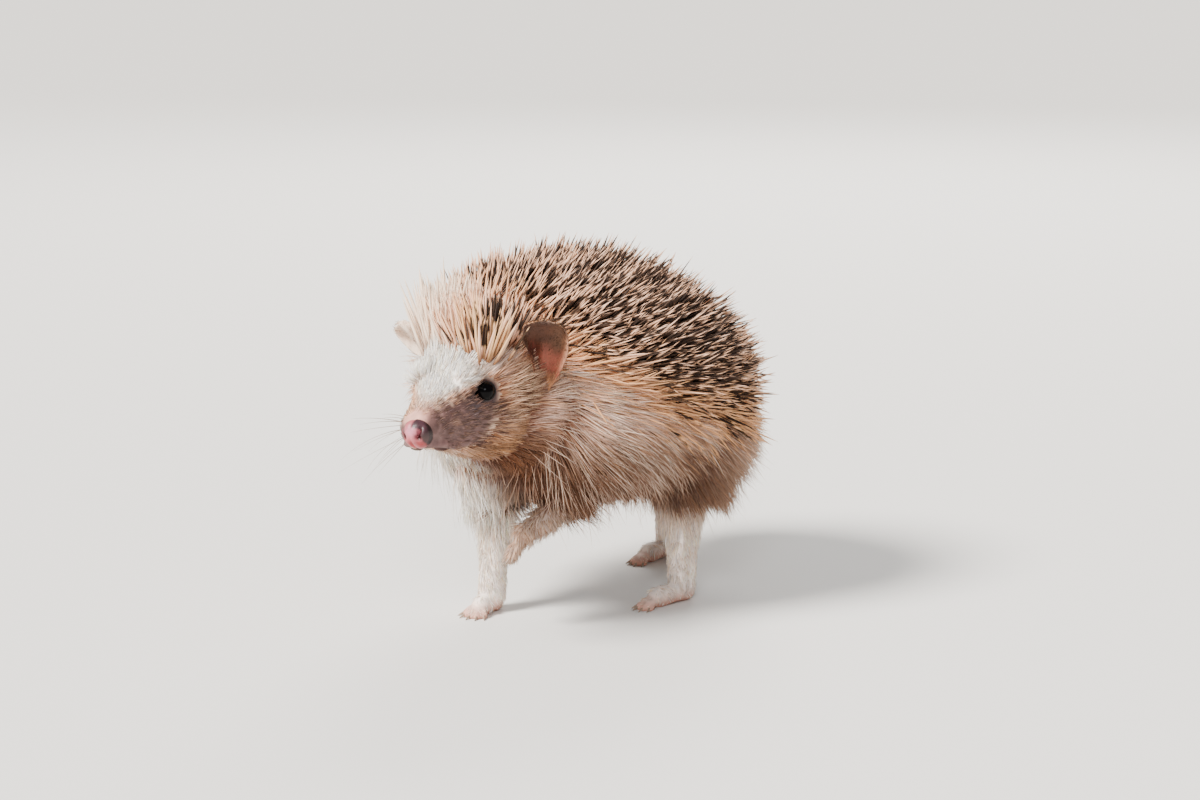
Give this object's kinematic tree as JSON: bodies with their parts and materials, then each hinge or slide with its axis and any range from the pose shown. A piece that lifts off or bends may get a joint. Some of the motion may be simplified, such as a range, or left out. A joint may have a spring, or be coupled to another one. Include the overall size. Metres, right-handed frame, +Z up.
{
  "type": "hedgehog",
  "caption": "Life-size still model of an African pygmy hedgehog, standing in mid-step on three feet with its left forefoot lifted and its head turned to its left.",
  "frame": {"origin": "on the floor, under the middle of the animal's bounding box", "axes": "+Z up from the floor, -Y the way the animal walks, +X towards its left side"},
  "size_m": [0.079, 0.1396, 0.0964],
  "materials": {
    "coat": "banded quills, cream with dark brown bands and pale tips, over long cream to tan fur",
    "face_fur": "short cream fur, thin and grey-brown along the muzzle",
    "leg_fur": "short off-white fur over pinkish skin",
    "ear_skin": "thin soft skin, brown-grey at the rim and pink inside",
    "nose_skin": "moist bare skin, pink below and dark grey above",
    "eye": "wet black"
  },
  "bodies": {
    "root": {"ear_left": "ear_skin", "ear_right": "ear_skin", "eye_left": "eye", "eye_right": "eye", "forefoot_right": "leg_fur", "foreleg_left": "leg_fur", "foreleg_right": "leg_fur", "head": "face_fur", "hindfoot_left": "leg_fur", "hindfoot_right": "leg_fur", "hindleg_left": "leg_fur", "hindleg_right": "leg_fur", "neck": "coat", "nose": "nose_skin", "tail": "coat", "trunk": "coat"}
  },
  "joints": []
}
